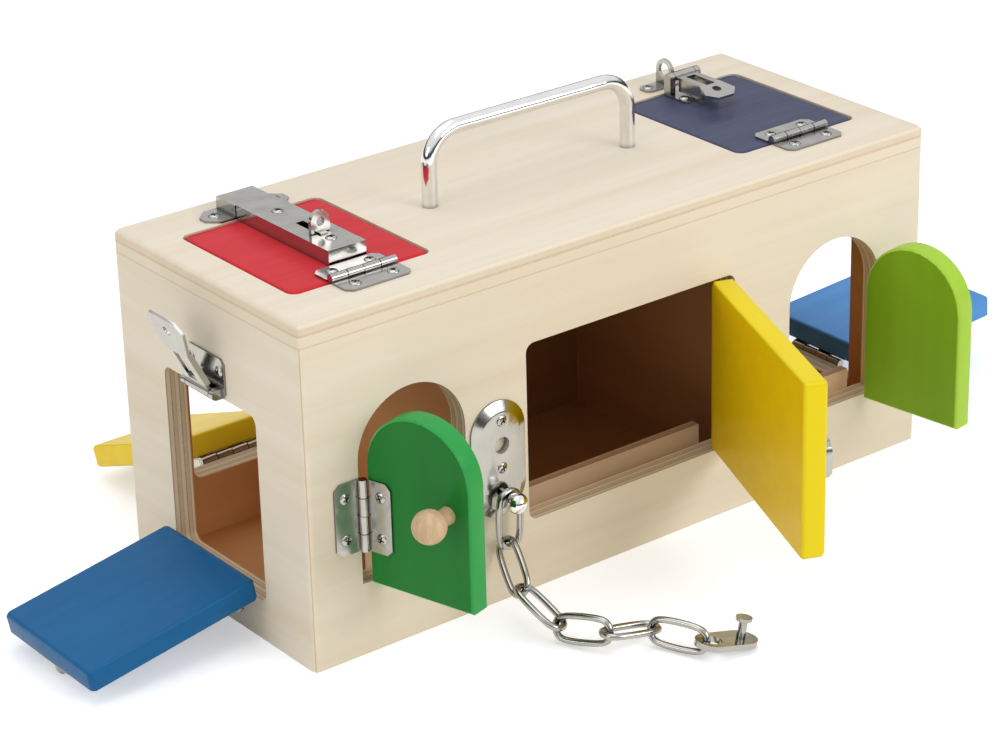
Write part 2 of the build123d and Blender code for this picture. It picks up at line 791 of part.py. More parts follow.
end_slot = (end_slot_start, end_slot_length, end_slot_width)
for side, base, angle, staple in (
    ("left", left_hasp, left_strap_angle, left_staple),
    ("right", right_hasp, right_strap_angle, right_staple),
):
    save(hasp_base(base, end_pivot_height, hasp_width, end_strap_width), f"{side}_hasp_base")
    end_strap = hasp_strap(
        strap_frame(base, angle),
        end_strap_width,
        end_strap_web,
        hasp_width,
        end_fan_length,
        end_fan_tilt,
        end_flange_depth,
        end_slot,
    )
    save(end_strap, f"{side}_hasp_strap")
    save(hasp_staple(staple, end_staple_height, end_staple_radius), f"{side}_hasp_staple")

navy_strap = hasp_strap(
    strap_frame(navy_hasp, 0.0),
    navy_strap_width,
    navy_strap_web,
    navy_fan_width,
    navy_fan_length,
    navy_fan_tilt,
    navy_flange_depth,
    (navy_slot_start, navy_slot_length, navy_slot_width),
)
save(hasp_base(navy_hasp, navy_pivot_height, navy_base_width, navy_strap_width), "navy_hasp_base")
save(navy_strap, "navy_hasp_strap")
save(hasp_staple(navy_staple, navy_staple_height, navy_staple_radius), "navy_hasp_staple")

# Barrel bolts on the light green door and on the rear flap: Y along the bolt's travel, Z outward
light_green_start = leaf_width + light_green_bolt_margin
barrel_bolts = (
    ("light_green", light_green_start, light_green_bolt_length, hinge_gap / 2 + arch_door_width, "light_green"),
    ("rear_flap", rear_bolt_start, rear_bolt_length, hinge_gap / 2 + rear_door_length, "rear"),
)
for name, start, length, free_edge, prefix in barrel_bolts:
    mount = seat(rest[name], 0, start, -axis_height)
    shut = seat(closed[name], 0, start, -axis_height)
    first_guide = barrel_guide_margin
    last_guide = length - barrel_guide_margin - barrel_guide_length
    with BuildPart() as bolt_body:
        with BuildSketch(mount) as plate:
            with Locations((0, length / 2)):
                Rectangle(barrel_bolt_width, length)
            chamfer(plate.vertices(), barrel_plate_bevel)
        extrude(amount=sheet)
        for guide in (first_guide, last_guide):
            with BuildSketch(along(mount, guide)):
                with Locations((barrel_guide_height / 2, 0)):
                    Rectangle(barrel_guide_height, barrel_guide_width)
                with Locations((barrel_bolt_centre, 0)):
                    bore(barrel_bolt_radius + running_clearance)
            extrude(amount=barrel_guide_length)
    save(bolt_body.part, f"{prefix}_bolt_body")
    stub_rest = first_guide + barrel_guide_length + barrel_stub_radius + barrel_keeper_clearance
    with BuildPart() as barrel_bolt:
        with BuildSketch(along(mount, barrel_tail)):
            with Locations((barrel_bolt_centre, 0)):
                Circle(barrel_bolt_radius)
        extrude(amount=length + barrel_tip - barrel_tail)
        with BuildSketch(across(mount, 0)):
            with Locations((stub_rest, barrel_bolt_centre)):
                RegularPolygon(barrel_stub_radius, bore_sides)
        extrude(amount=barrel_stub_reach)
    save(barrel_bolt.part, f"{prefix}_bolt")
    with BuildPart() as bolt_keeper:
        with BuildSketch(along(shut, free_edge + free_gap + barrel_keeper_gap - start)):
            with Locations((barrel_guide_height / 2, 0)):
                Rectangle(barrel_guide_height, barrel_guide_width)
            with Locations((barrel_bolt_centre, 0)):
                bore(barrel_bolt_radius + barrel_keeper_clearance)
        extrude(amount=barrel_keeper_length)
    save(bolt_keeper.part, f"{prefix}_bolt_keeper")

# Turned wooden knob on the green door
knob_ball = knob_neck_length + (knob_radius**2 - knob_neck_radius**2) ** 0.5
with BuildPart() as green_knob:
    ball_on_neck(
        seat(rest["green"], -knob_rise, knob_from_hinge, -axis_height),
        knob_neck_radius,
        knob_radius,
        knob_ball,
    )
save(green_knob.part, "green_knob")

# Door chain: anchor plate and stud on the front wall
anchor_spot = (anchor_centre, (anchor_top + anchor_bottom) / 2)
anchor_height = anchor_top - anchor_bottom
with BuildPart() as chain_anchor_plate:
    with BuildSketch(front_face):
        with Locations(anchor_spot):
            SlotOverall(anchor_height, anchor_width, rotation=90)
    extrude(amount=anchor_rim)
    with BuildSketch(front_face.offset(anchor_rim)):
        with Locations(anchor_spot):
            SlotOverall(anchor_height, anchor_width, rotation=90)
    with BuildSketch(front_face.offset(anchor_thickness)):
        with Locations(anchor_spot):
            SlotOverall(anchor_height - 2 * anchor_slope, anchor_width - 2 * anchor_slope, rotation=90)
    loft(ruled=True)
    with BuildSketch(front_face):
        with Locations((anchor_centre, anchor_hole_height)):
            RegularPolygon(anchor_hole_radius, staple_sides)
        with Locations((anchor_centre, stud_height)):
            Circle(stud_neck_radius)
    extrude(amount=anchor_thickness, mode=Mode.SUBTRACT)
save(chain_anchor_plate.part, "chain_anchor_plate")

with BuildPart() as chain_anchor_stud:
    ball_on_neck(
        seat(front_face, anchor_centre, stud_height, 0),
        stud_neck_radius,
        stud_ball_radius,
        stud_ball_reach,
    )
save(chain_anchor_stud.part, "chain_anchor_stud")

# Chain links: each turns about the wire of the link before it
link_offset = link_bend - 2 * link_wire_radius - link_clearance


def next_link(link, bend, swing):
    """A link's frame: origin at its first bend, X along it, Z square to its plane."""
    radial = link.x_dir * cos(radians(bend)) + link.y_dir * sin(radians(bend))
    contact = link.origin + link.x_dir * link_straight + radial * link_bend
    reach = radial * cos(radians(swing)) - link.z_dir * sin(radians(swing))
    return Plane(contact + reach * link_offset, x_dir=reach, z_dir=link.z_dir.cross(radial))


hang = stud_height + stud_neck_radius + link_clearance - (link_bend - link_wire_radius)
links = [Plane((anchor_centre, -half_depth - link_reach, hang), x_dir=(0, 0, -1), z_dir=(0, -1, 0))]
for bend, swing in link_bends:
    links.append(next_link(links[-1], bend, swing))

# Centre line of a link, in short straights that lie outside its bends
turn_step = 180 / link_turn_steps
turn_radius = link_bend / cos(radians(turn_step / 2))
turn_angles = [radians(90 - (step + 0.5) * turn_step) for step in range(link_turn_steps)]
far_turn = [(link_straight + turn_radius * cos(angle), turn_radius * sin(angle)) for angle in turn_angles]
near_turn = [(link_straight - x, -y) for x, y in far_turn]
side_middle = (link_straight / 2, link_bend)
for number, link in enumerate(links[:-1], start=1):
    with BuildPart() as chain_link:
        with BuildLine(link):
            Polyline(side_middle, *far_turn, *near_turn, close=True)
        with BuildSketch(Plane(link.from_local_coords(side_middle), x_dir=link.y_dir, z_dir=link.x_dir)):
            RegularPolygon(link_wire_radius, link_wire_sides)
        sweep(transition=Transition.RIGHT)
    save(chain_link.part, f"chain_link_{number}")

end_plate = links[-1]
end_width = 2 * (link_bend + link_wire_radius)
button_spot = (link_straight, 0)
with BuildPart() as chain_end_button:
    with BuildSketch(end_plate.offset(-end_plate_thickness / 2)):
        with Locations((link_straight / 2, 0)):
            SlotOverall(link_straight + end_width, end_width)
        bore(link_bend - link_wire_radius, end_hole_sides)
    extrude(amount=end_plate_thickness)
    with BuildSketch(end_plate.offset(-end_plate_thickness / 2)):
        with Locations(button_spot):
            RegularPolygon(button_neck_radius, barrel_sides)
    extrude(amount=-button_neck_length)
    with BuildSketch(end_plate.offset(-end_plate_thickness / 2 - button_neck_length)):
        with Locations(button_spot):
            RegularPolygon(button_head_radius, staple_sides)
    extrude(amount=-button_head_thickness)
save(chain_end_button.part, "chain_end_button")

# Chain track on the yellow door
track_end = hinge_gap / 2 + yellow_length - track_from_edge
track_frame = seat(rest["yellow"], track_rise, track_end - track_length / 2, -axis_height)
keyhole_radius = button_head_radius + button_clearance
with BuildPart() as chain_track:
    with BuildSketch(track_frame) as track_plate:
        Rectangle(track_width, track_length)
        chamfer(track_plate.vertices(), track_corner)
    extrude(amount=track_height)
    with BuildSketch(track_frame):
        Rectangle(track_channel_width, track_length - 2 * track_end_wall)
    extrude(amount=track_height - track_wall, mode=Mode.SUBTRACT)
    with BuildSketch(track_frame.offset(track_height - track_wall)):
        Rectangle(track_slot_width, track_length - 2 * track_slot_end)
        with Locations((0, track_slot_end + keyhole_radius - track_length / 2)):
            RegularPolygon(keyhole_radius, staple_sides)
    extrude(amount=track_wall, mode=Mode.SUBTRACT)
save(chain_track.part, "chain_track")
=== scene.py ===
import json
from math import acos, cos, pi, radians, sin, sqrt

import bmesh
import bpy
from mathutils import Matrix, Vector


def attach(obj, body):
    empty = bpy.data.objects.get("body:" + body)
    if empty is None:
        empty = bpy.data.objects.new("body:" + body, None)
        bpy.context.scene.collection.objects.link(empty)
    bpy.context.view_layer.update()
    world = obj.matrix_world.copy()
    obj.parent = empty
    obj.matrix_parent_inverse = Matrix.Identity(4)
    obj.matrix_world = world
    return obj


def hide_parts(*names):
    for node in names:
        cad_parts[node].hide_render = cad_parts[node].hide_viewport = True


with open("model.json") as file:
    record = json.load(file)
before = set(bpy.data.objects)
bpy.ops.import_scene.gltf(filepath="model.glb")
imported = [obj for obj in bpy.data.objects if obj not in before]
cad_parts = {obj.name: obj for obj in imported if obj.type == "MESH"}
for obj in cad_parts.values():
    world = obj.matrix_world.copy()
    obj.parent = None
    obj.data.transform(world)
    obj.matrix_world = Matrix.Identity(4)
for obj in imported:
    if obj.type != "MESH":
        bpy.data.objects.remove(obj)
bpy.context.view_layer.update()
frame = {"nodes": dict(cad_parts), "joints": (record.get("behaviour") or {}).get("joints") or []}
nodes = frame["nodes"]
scene = bpy.context.scene
MM = 0.001
X = Vector((1, 0, 0))
Y = Vector((0, 1, 0))
Z = Vector((0, 0, 1))
WHITE = (1.0, 1.0, 1.0, 1.0)


def srgb(*levels):
    """A colour given by three levels from 0 to 255, as linear light."""
    linear = [c / 255 / 12.92 if c <= 10 else ((c / 255 + 0.055) / 1.055) ** 2.4 for c in levels]
    return (*linear, 1.0)


class Nodes:
    """A node tree with short ways to add and join nodes."""

    def __init__(self, tree):
        self.tree = tree

    def add(self, kind, **values):
        node = self.tree.nodes.new(kind)
        for key, value in values.items():
            setattr(node, key, value)
        return node

    def join(self, source, target):
        self.tree.links.new(source, target)

    def feed(self, socket, value):
        """A plain value is set on the socket, and an output is joined to it."""
        if isinstance(value, (int, float, tuple)):
            socket.default_value = value
        else:
            self.join(value, socket)

    def place(self, scale):
        coord = self.add("ShaderNodeTexCoord")
        mapping = self.add("ShaderNodeMapping")
        mapping.inputs["Scale"].default_value = scale
        self.join(coord.outputs["Object"], mapping.inputs["Vector"])
        return mapping.outputs["Vector"]

    def axes(self, vector):
        node = self.add("ShaderNodeSeparateXYZ")
        self.join(vector, node.inputs["Vector"])
        return node.outputs

    def noise(self, vector, scale, detail, rough):
        node = self.add("ShaderNodeTexNoise")
        node.inputs["Scale"].default_value = scale
        node.inputs["Detail"].default_value = detail
        node.inputs["Roughness"].default_value = rough
        self.join(vector, node.inputs["Vector"])
        return node.outputs["Fac"]

    def ramp(self, factor, *stops):
        node = self.add("ShaderNodeValToRGB")
        ramp = node.color_ramp
        while len(ramp.elements) < len(stops):
            ramp.elements.new(0.5)
        for element, (position, color) in zip(ramp.elements, stops):
            element.position = position
            element.color = color
        self.join(factor, node.inputs["Fac"])
        return node.outputs["Color"]

    def math(self, operation, *values):
        node = self.add("ShaderNodeMath", operation=operation)
        for socket, value in zip(node.inputs, values):
            self.feed(socket, value)
        return node.outputs["Value"]

    def span(self, value, low, high, out_low=0.0, out_high=1.0):
        node = self.add("ShaderNodeMapRange")
        self.join(value, node.inputs["Value"])
        node.inputs["From Min"].default_value = low
        node.inputs["From Max"].default_value = high
        node.inputs["To Min"].default_value = out_low
        node.inputs["To Max"].default_value = out_high
        return node.outputs["Result"]

    def mix(self, factor, a, b, blend="MIX"):
        node = self.add("ShaderNodeMix", data_type="RGBA", blend_type=blend)
        for socket, value in ((node.inputs[0], factor), (node.inputs[6], a), (node.inputs[7], b)):
            self.feed(socket, value)
        return node.outputs[2]

    def seen(self, path):
        """One for rays from the camera, also when mirrored or let through on their way."""
        direct = self.math("MAXIMUM", path["Is Camera Ray"], path["Is Glossy Ray"])
        return self.math("MAXIMUM", direct, path["Is Transmission Ray"])


class Shader(Nodes):
    """A material's node tree, with its main shader."""

    def __init__(self, name):
        self.material = bpy.data.materials.new(name)
        self.material.use_nodes = True
        super().__init__(self.material.node_tree)
        self.main = self.tree.nodes["Principled BSDF"]

    def put(self, name, value):
        self.feed(self.main.inputs[name], value)

    def bump(self, height, strength, distance=0.0004):
        node = self.add("ShaderNodeBump")
        node.inputs["Strength"].default_value = strength
        node.inputs["Distance"].default_value = distance
        self.join(height, node.inputs["Height"])
        self.put("Normal", node.outputs["Normal"])


# Plywood
BIRCH_PALE = srgb(238, 227, 209)
BIRCH = srgb(234, 222, 202)
BIRCH_WARM = srgb(230, 216, 193)
BIRCH_STREAK = srgb(216, 198, 169)
PLY_LONG = srgb(232, 217, 191)
PLY_CROSS = srgb(217, 194, 156)
PLY_LINE = srgb(172, 136, 94)
MITRE_LINE = srgb(186, 162, 126)
# Painted shade inside the box: warm in the end compartments, darker in the middle one, darkest on its faces
# turned to the front
END_INSIDE_SHADE = srgb(240, 190, 136)
MIDDLE_INSIDE_SHADE = srgb(210, 160, 110)
MIDDLE_REAR_SHADE = srgb(166, 120, 74)
LONG_GRAIN = {"x": (1.0, 26.0, 26.0), "y": (26.0, 1.0, 26.0), "z": (26.0, 26.0, 1.0)}
WALL_PLIES = 0.0048
PANEL_PLIES = 0.012

# The box in metres: half its outside, its inner faces, and the partitions' distance from the middle
HALF_LENGTH = 0.2
HALF_DEPTH = 0.08
INNER_LENGTH = 0.188
INNER_DEPTH = 0.068
INNER_TOP = 0.17
PARTITION = 0.087
PARTITION_HALF_BLEND = 0.0005
# How far past the inner faces the painted shade inside the box begins, and where it is full
SHADE_START = 0.0006
SHADE_FULL = 0.0002


def plywood(name, grain, stack, pair, lines, shade_strength=1.0):
    """Pale birch plywood with painted shade inside the box: grain along one axis, and edges with ply lines
    across the stack.
    """
    s = Shader(name)
    place = s.place(LONG_GRAIN[grain])
    broad = s.noise(place, scale=3.0, detail=3.0, rough=0.5)
    fine = s.noise(place, scale=14.0, detail=5.0, rough=0.62)
    face = s.ramp(broad, (0.3, BIRCH_PALE), (0.52, BIRCH), (0.74, BIRCH_WARM))
    face = s.mix(s.span(fine, 0.52, 0.8, out_high=0.15), face, BIRCH_STREAK)
    point = s.axes(s.add("ShaderNodeTexCoord").outputs["Object"])
    normal = s.axes(s.add("ShaderNodeNewGeometry").outputs["True Normal"])
    axis = stack.upper()
    edge = s.span(s.math("ABSOLUTE", normal[axis]), 0.5, 0.75, out_low=1.0, out_high=0.0)
    layer = s.math("MULTIPLY", s.math("SUBTRACT", point[axis], INNER_TOP), 1.0 / pair)
    plies = s.ramp(
        s.math("FRACT", layer),
        (0.0, PLY_LINE),
        (0.1, PLY_LONG),
        (0.46, PLY_LONG),
        (0.54, PLY_LINE),
        (0.64, PLY_CROSS),
        (0.96, PLY_CROSS),
    )
    speckle = s.noise(s.place((60.0, 60.0, 60.0)), scale=12.0, detail=2.0, rough=0.6)
    plies = s.mix(s.span(speckle, 0.45, 0.8, out_high=0.5), plies, PLY_LONG)
    colour = s.mix(s.math("MULTIPLY", edge, lines), face, plies)
    wide = s.math("ABSOLUTE", point["X"])
    deep = s.math("ABSOLUTE", point["Y"])
    if stack != "z":
        past_mitre = s.math("SUBTRACT", s.math("SUBTRACT", wide, deep), HALF_LENGTH - HALF_DEPTH)
        mitre = s.span(s.math("ABSOLUTE", past_mitre), 0.0002, 0.0006, out_low=0.6, out_high=0.0)
        colour = s.mix(mitre, colour, MITRE_LINE)
    # Painted shade on the faces inside the box: warm in the end compartments, darker in the middle one,
    # darkest on faces turned to the front
    inside = shade_strength
    for distance, face_at in ((wide, INNER_LENGTH), (deep, INNER_DEPTH), (point["Z"], INNER_TOP)):
        within = s.span(distance, face_at + SHADE_START, face_at + SHADE_FULL, out_high=shade_strength)
        inside = s.math("MINIMUM", inside, within)
    middle = s.mix(s.span(normal["Y"], -0.5, -0.9), MIDDLE_INSIDE_SHADE, MIDDLE_REAR_SHADE)
    at_end = s.span(wide, PARTITION - PARTITION_HALF_BLEND, PARTITION + PARTITION_HALF_BLEND)
    inside_shade = s.mix(at_end, middle, END_INSIDE_SHADE)
    s.put("Base Color", s.mix(inside, colour, inside_shade, "MULTIPLY"))
    s.put("Roughness", s.span(fine, 0.3, 0.8, 0.42, 0.6))
    s.put("Specular IOR Level", 0.3)
    s.bump(fine, 0.12)
    return s.material


# Paint, metal and turned wood
# Painted shade in metal creases, and how far around a crease it reaches
CREASE_SHADE_COLOUR = srgb(58, 54, 48)
CREASE_SHADE_REACH = 0.004
BEECH_PALE = srgb(214, 186, 150)
BEECH_DARK = srgb(190, 154, 116)


def paint(name, colour, light, grain, edge=None, body=None):
    """Satin paint with a faint grain, paler at convex corners as a painted highlight, and a lighter colour on
    a door's edges as a painted highlight.
    """
    s = Shader(name)
    place = s.place(LONG_GRAIN[grain])
    broad = s.noise(place, scale=3.0, detail=3.0, rough=0.5)
    fine = s.noise(place, scale=18.0, detail=4.0, rough=0.6)
    tone = s.ramp(broad, (0.3, colour), (0.75, light))
    geometry = s.add("ShaderNodeNewGeometry").outputs
    # A painted highlight: paint paler on convex corners
    tone = s.mix(s.span(geometry["Pointiness"], 0.51, 0.58, out_high=0.35), tone, light)
    # A painted highlight: a door's edges, turned away from its face, get a lighter colour
    if edge:
        turn = s.add("ShaderNodeVectorTransform", vector_type="NORMAL")
        turn.convert_from = "WORLD"
        turn.convert_to = "OBJECT"
        dot = s.add("ShaderNodeVectorMath", operation="DOT_PRODUCT")
        s.join(geometry["True Normal"], turn.inputs["Vector"])
        s.join(turn.outputs["Vector"], dot.inputs[0])
        dot.inputs[1].default_value = door_frame(body)[3]
        facing = s.math("ABSOLUTE", dot.outputs["Value"])
        tone = s.mix(s.span(facing, 0.8, 0.9, out_low=1.0, out_high=0.0), tone, edge)
    s.put("Base Color", tone)
    s.put("Roughness", s.span(fine, 0.3, 0.8, 0.3, 0.46))
    s.put("Specular IOR Level", 0.18)
    s.put("Coat Weight", 0.04)
    s.put("Coat Roughness", 0.18)
    s.bump(fine, 0.04)
    return s.material


def bright_metal(name, tint, smooth, rough):
    """Plated metal: fine polishing lines, a little unevenness in its shine, and painted shade darkening its
    creases.
    """
    s = Shader(name)
    even = s.place((1.0, 1.0, 1.0))
    cloud = s.noise(even, scale=90.0, detail=3.0, rough=0.5)
    lines = s.noise(s.place((40.0, 900.0, 900.0)), scale=3.0, detail=3.0, rough=0.6)
    waves = s.noise(even, scale=70.0, detail=2.0, rough=0.5)
    shaded = tuple(c * 0.88 for c in tint)
    plate = s.ramp(cloud, (0.3, (*tint, 1.0)), (0.8, (*shaded, 1.0)))
    # Painted shade: metal darkened where ambient occlusion finds a crease or contact
    crease_occlusion = s.add("ShaderNodeAmbientOcclusion", samples=8)
    crease_occlusion.inputs["Distance"].default_value = CREASE_SHADE_REACH
    painted_crease_shade = s.span(crease_occlusion.outputs["AO"], 0.35, 0.85, out_low=0.75, out_high=0.0)
    s.put("Base Color", s.mix(painted_crease_shade, plate, CREASE_SHADE_COLOUR))
    s.put("Metallic", 1.0)
    s.put("Roughness", s.span(cloud, 0.3, 0.8, smooth, rough))
    s.bump(s.math("ADD", s.math("MULTIPLY", lines, 0.02), waves), 0.22, 0.0012)
    return s.material


def knob_wood():
    """Turned beech, with its grain along the knob."""
    s = Shader("turned_beech")
    grain = s.noise(s.place((20.0, 20.0, 3.0)), scale=14.0, detail=5.0, rough=0.6)
    s.put("Base Color", s.ramp(grain, (0.3, BEECH_PALE), (0.7, BEECH_DARK)))
    s.put("Roughness", s.span(grain, 0.3, 0.8, 0.45, 0.62))
    s.bump(grain, 0.2)
    return s.material


# Hinge frames of the doors, flaps and lids: each one's hinge, its reach when shut and its outer side
joints = {joint["name"]: joint for joint in frame["joints"]}
doors = {
    "green_door": ("green_door_hinge", X, -Y),
    "yellow_door": ("yellow_door_hinge", -X, -Y),
    "light_green_door": ("light_green_door_hinge", -X, -Y),
    "left_flap": ("left_flap_hinge", Z, -X),
    "right_flap": ("right_flap_hinge", Z, X),
    "rear_flap": ("rear_flap_hinge", Z, Y),
    "red_lid": ("red_lid_hinge", Y, Z),
    "navy_lid": ("navy_lid_hinge", Y, Z),
}
AXIS_HEIGHT = 2.4


def door_frame(body, shut=False):
    """A door's hinge point, and its directions along the hinge, towards the free edge and outwards."""
    name, flat, out = doors[body]
    joint = joints[name]
    angle = 0.0 if shut else radians(-joint["range_deg"][0])
    reach = flat * cos(angle) + out * sin(angle)
    normal = out * cos(angle) - flat * sin(angle)
    return Vector(joint["pos_m"]), reach.cross(normal), reach, normal


def on_door(body, x, y, height, shut=False):
    """A seat on a door: x along its hinge, y towards its free edge, and the height above its outer face."""
    origin, across, reach, normal = door_frame(body, shut)
    point = origin + (across * x + reach * y + normal * (height - AXIS_HEIGHT)) * MM
    return point, across, normal


# Looks of the solids
front_ply = plywood("plywood_front", "x", "y", WALL_PLIES, 1.0)
end_ply = plywood("plywood_ends", "y", "x", WALL_PLIES, 1.0)
flat_ply = plywood("plywood_flat", "x", "z", PANEL_PLIES, 0.45)
# The stop strips get part of the painted shade inside the box
strip_ply = plywood("plywood_strips", "x", "y", WALL_PLIES, 1.0, 0.6)
nickel = bright_metal("nickel_plate", (0.49, 0.485, 0.465), 0.12, 0.24)
chain_steel = bright_metal("chain_steel", (0.44, 0.44, 0.42), 0.12, 0.22)
chrome = bright_metal("chrome_wire", (0.86, 0.86, 0.87), 0.05, 0.09)
beech = knob_wood()
GREEN = (srgb(16, 112, 37), srgb(28, 128, 49))
# Lighter colours for the doors' edges: painted highlights
GREEN_EDGE_HIGHLIGHT = srgb(48, 158, 76)
YELLOW = (srgb(234, 190, 2), srgb(240, 202, 12))
YELLOW_EDGE_HIGHLIGHT = srgb(238, 214, 22)
REAR_YELLOW = (srgb(240, 204, 20), srgb(246, 216, 48))
LIGHT_GREEN = (srgb(112, 158, 22), srgb(128, 172, 36))
LIGHT_GREEN_EDGE_HIGHLIGHT = srgb(166, 206, 66)
BLUE = (srgb(2, 88, 142), srgb(8, 100, 156))
RIGHT_BLUE = (srgb(68, 138, 212), srgb(88, 156, 224))
RED = (srgb(202, 22, 36), srgb(214, 40, 52))
NAVY = (srgb(58, 61, 88), srgb(72, 75, 104))
looks = {
    "front_wall": front_ply,
    "rear_wall": front_ply,
    "stop_strips": strip_ply,
    "left_end_wall": end_ply,
    "right_end_wall": end_ply,
    "left_partition": end_ply,
    "right_partition": end_ply,
    "top_panel": flat_ply,
    "bottom_panel": flat_ply,
    "green_door": paint("green_paint", *GREEN, "z", GREEN_EDGE_HIGHLIGHT, "green_door"),
    "yellow_door": paint("yellow_paint", *YELLOW, "x", YELLOW_EDGE_HIGHLIGHT, "yellow_door"),
    "rear_flap": paint("rear_yellow_paint", *REAR_YELLOW, "x"),
    "light_green_door": paint("light_green_paint", *LIGHT_GREEN, "z", LIGHT_GREEN_EDGE_HIGHLIGHT, "light_green_door"),
    "left_flap": paint("blue_paint", *BLUE, "x"),
    "right_flap": paint("right_blue_paint", *RIGHT_BLUE, "x"),
    "red_lid": paint("red_paint", *RED, "x"),
    "navy_lid": paint("navy_paint", *NAVY, "x"),
    "green_knob": beech,
    "carry_handle": chrome,
    "chain_end_button": chain_steel,
}
for number in range(1, 7):
    looks[f"chain_link_{number}"] = chain_steel

# Edges and wire of the solids
CRISP_ANGLE = 50.0
FLAT_ANGLE = 1.0
WELD_REACH = 0.000002
WIRE_SWELL = 0.00012


def crisp_edges(obj):
    """Sharp corners stay sharp, and small bevels shade as rounded edges of flat faces."""
    split = obj.modifiers.new("edges", "EDGE_SPLIT")
    split.split_angle = radians(CRISP_ANGLE)
    weighted = obj.modifiers.new("flat_faces", "WEIGHTED_NORMAL")
    weighted.mode = "FACE_AREA"
    weighted.weight = 100
    weighted.keep_sharp = True


def round_wire(obj):
    """Many-sided wire made round, and brought back out to its own radius."""
    flats = obj.modifiers.new("flats", "DECIMATE")
    flats.decimate_type = "DISSOLVE"
    flats.angle_limit = radians(FLAT_ANGLE)
    smooth = obj.modifiers.new("smooth", "SUBSURF")
    smooth.levels = 2
    smooth.render_levels = 2
    swell = obj.modifiers.new("swell", "DISPLACE")
    swell.mid_level = 0.0
    swell.strength = WIRE_SWELL


def shade_smooth(mesh):
    for polygon in mesh.polygons:
        polygon.use_smooth = True


for name, node in nodes.items():
    node.data.materials.clear()
    node.data.materials.append(looks.get(name, nickel))
    shade_smooth(node.data)
    weld = node.modifiers.new("weld", "WELD")
    weld.merge_threshold = WELD_REACH
    if name.startswith("chain_link"):
        round_wire(node)
    else:
        crisp_edges(node)


# Meshes made here, in millimetres above a seat
def seat_matrix(origin, across, normal, spin):
    z = Vector(normal).normalized()
    x = Vector(across).normalized()
    turn = Matrix((x, z.cross(x), z)).transposed().to_4x4()
    return Matrix.Translation(Vector(origin)) @ turn @ Matrix.Rotation(spin, 4, "Z")


def vertices(bm, matrix, points):
    return [bm.verts.new(matrix @ (Vector(point) * MM)) for point in points]


def ring(bm, matrix, radius, height, count):
    angles = [2 * pi * k / count for k in range(count)]
    return vertices(bm, matrix, [(radius * cos(a), radius * sin(a), height) for a in angles])


def quads(bm, lower, upper):
    count = len(lower)
    for k in range(count):
        after = (k + 1) % count
        bm.faces.new((lower[k], lower[after], upper[after], upper[k]))


def finish_piece(bm, name, body, material):
    """A mesh made here becomes an object that rides with its body."""
    bmesh.ops.recalc_face_normals(bm, faces=bm.faces)
    mesh = bpy.data.meshes.new(name)
    bm.to_mesh(mesh)
    bm.free()
    mesh.materials.append(material)
    shade_smooth(mesh)
    obj = bpy.data.objects.new(name, mesh)
    scene.collection.objects.link(obj)
    crisp_edges(obj)
    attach(obj, body)
    return obj


# Wood screws in millimetres: a head's rings as (radius, height), its recess as (arm, half width, height)
SCREW_SIDES = 24
SCREW_RINGS = ((3.0, -0.5), (3.0, 0.06), (2.5, 0.6))
RECESS_MOUTH = (1.8, 0.42, 0.9)
RECESS_FLOOR = (1.4, 0.24, -0.35)
FIRST_SPIN = 23.0
NEXT_SPIN = 47.0


def cross(bm, matrix, arm, half, height):
    """A cross-shaped loop, from the reach of its arms and half their width."""
    quarter = [(arm, -half), (arm, half), (half, half)]
    corners = []
    for _ in range(4):
        corners += quarter
        quarter = [(-y, x) for x, y in quarter]
    return vertices(bm, matrix, [(x, y, height) for x, y in corners])


def screw_head(bm, matrix):
    seat, shoulder, crown = [ring(bm, matrix, *size, SCREW_SIDES) for size in SCREW_RINGS]
    quads(bm, seat, shoulder)
    quads(bm, shoulder, crown)
    mouth = cross(bm, matrix, *RECESS_MOUTH)
    floor_loop = cross(bm, matrix, *RECESS_FLOOR)
    edges = []
    for loop in (crown, mouth):
        for pair in zip(loop, loop[1:] + loop[:1]):
            edges.append(bm.edges.get(pair) or bm.edges.new(pair))
    bmesh.ops.bridge_loops(bm, edges=edges)
    quads(bm, mouth, floor_loop)
    bm.faces.new(floor_loop)


def screws(name, body, seats):
    bm = bmesh.new()
    for count, seat in enumerate(seats):
        screw_head(bm, seat_matrix(*seat, radians(FIRST_SPIN + NEXT_SPIN * count)))
    finish_piece(bm, name, body, nickel)


# Places of the screws in millimetres: on doors from the hinge, on lids and the box from the box's middle
LEAF = 1.2
LEAF_SCREW_X = 11.0
LEAF_SCREW_Y = 9.5
BOLT_SCREW_X = 6.2
LIGHT_GREEN_BOLT_SCREWS = (26.5, 40.0)
REAR_BOLT_SCREWS = (72.6, 82.6)
STAPLE_SCREW_X = 12.0
FLAP_STAPLE_Y = 91.6
PLATE_TOP = 183.2
LOCK_CENTRE = -136.4
LOCK_TOP = 190.0
LOCK_POSTS_Y = (28.0, -17.7)
LOCK_KEEPER_SCREW_X = 18.0
LOCK_KEEPER_SCREW_Y = 57.8
LID_CENTRE = 140.0
NAVY_BASE_SCREW_X = 8.0
NAVY_BASE_SCREW_Y = 33.0
NAVY_STAPLE_SCREW_Y = 58.5
END_PLATE_X = 201.2
END_BASE_SCREW_Y = 12.0
END_BASE_SCREW_Z = 136.5
ANCHOR_CENTRE = -87.0
ANCHOR_FACE = -84.0
ANCHOR_SCREWS_Z = (101.0, 75.5)


def both(distance):
    return (-distance, distance)


def on_top(x, y, z):
    return Vector((x, y, z)) * MM, X, Z


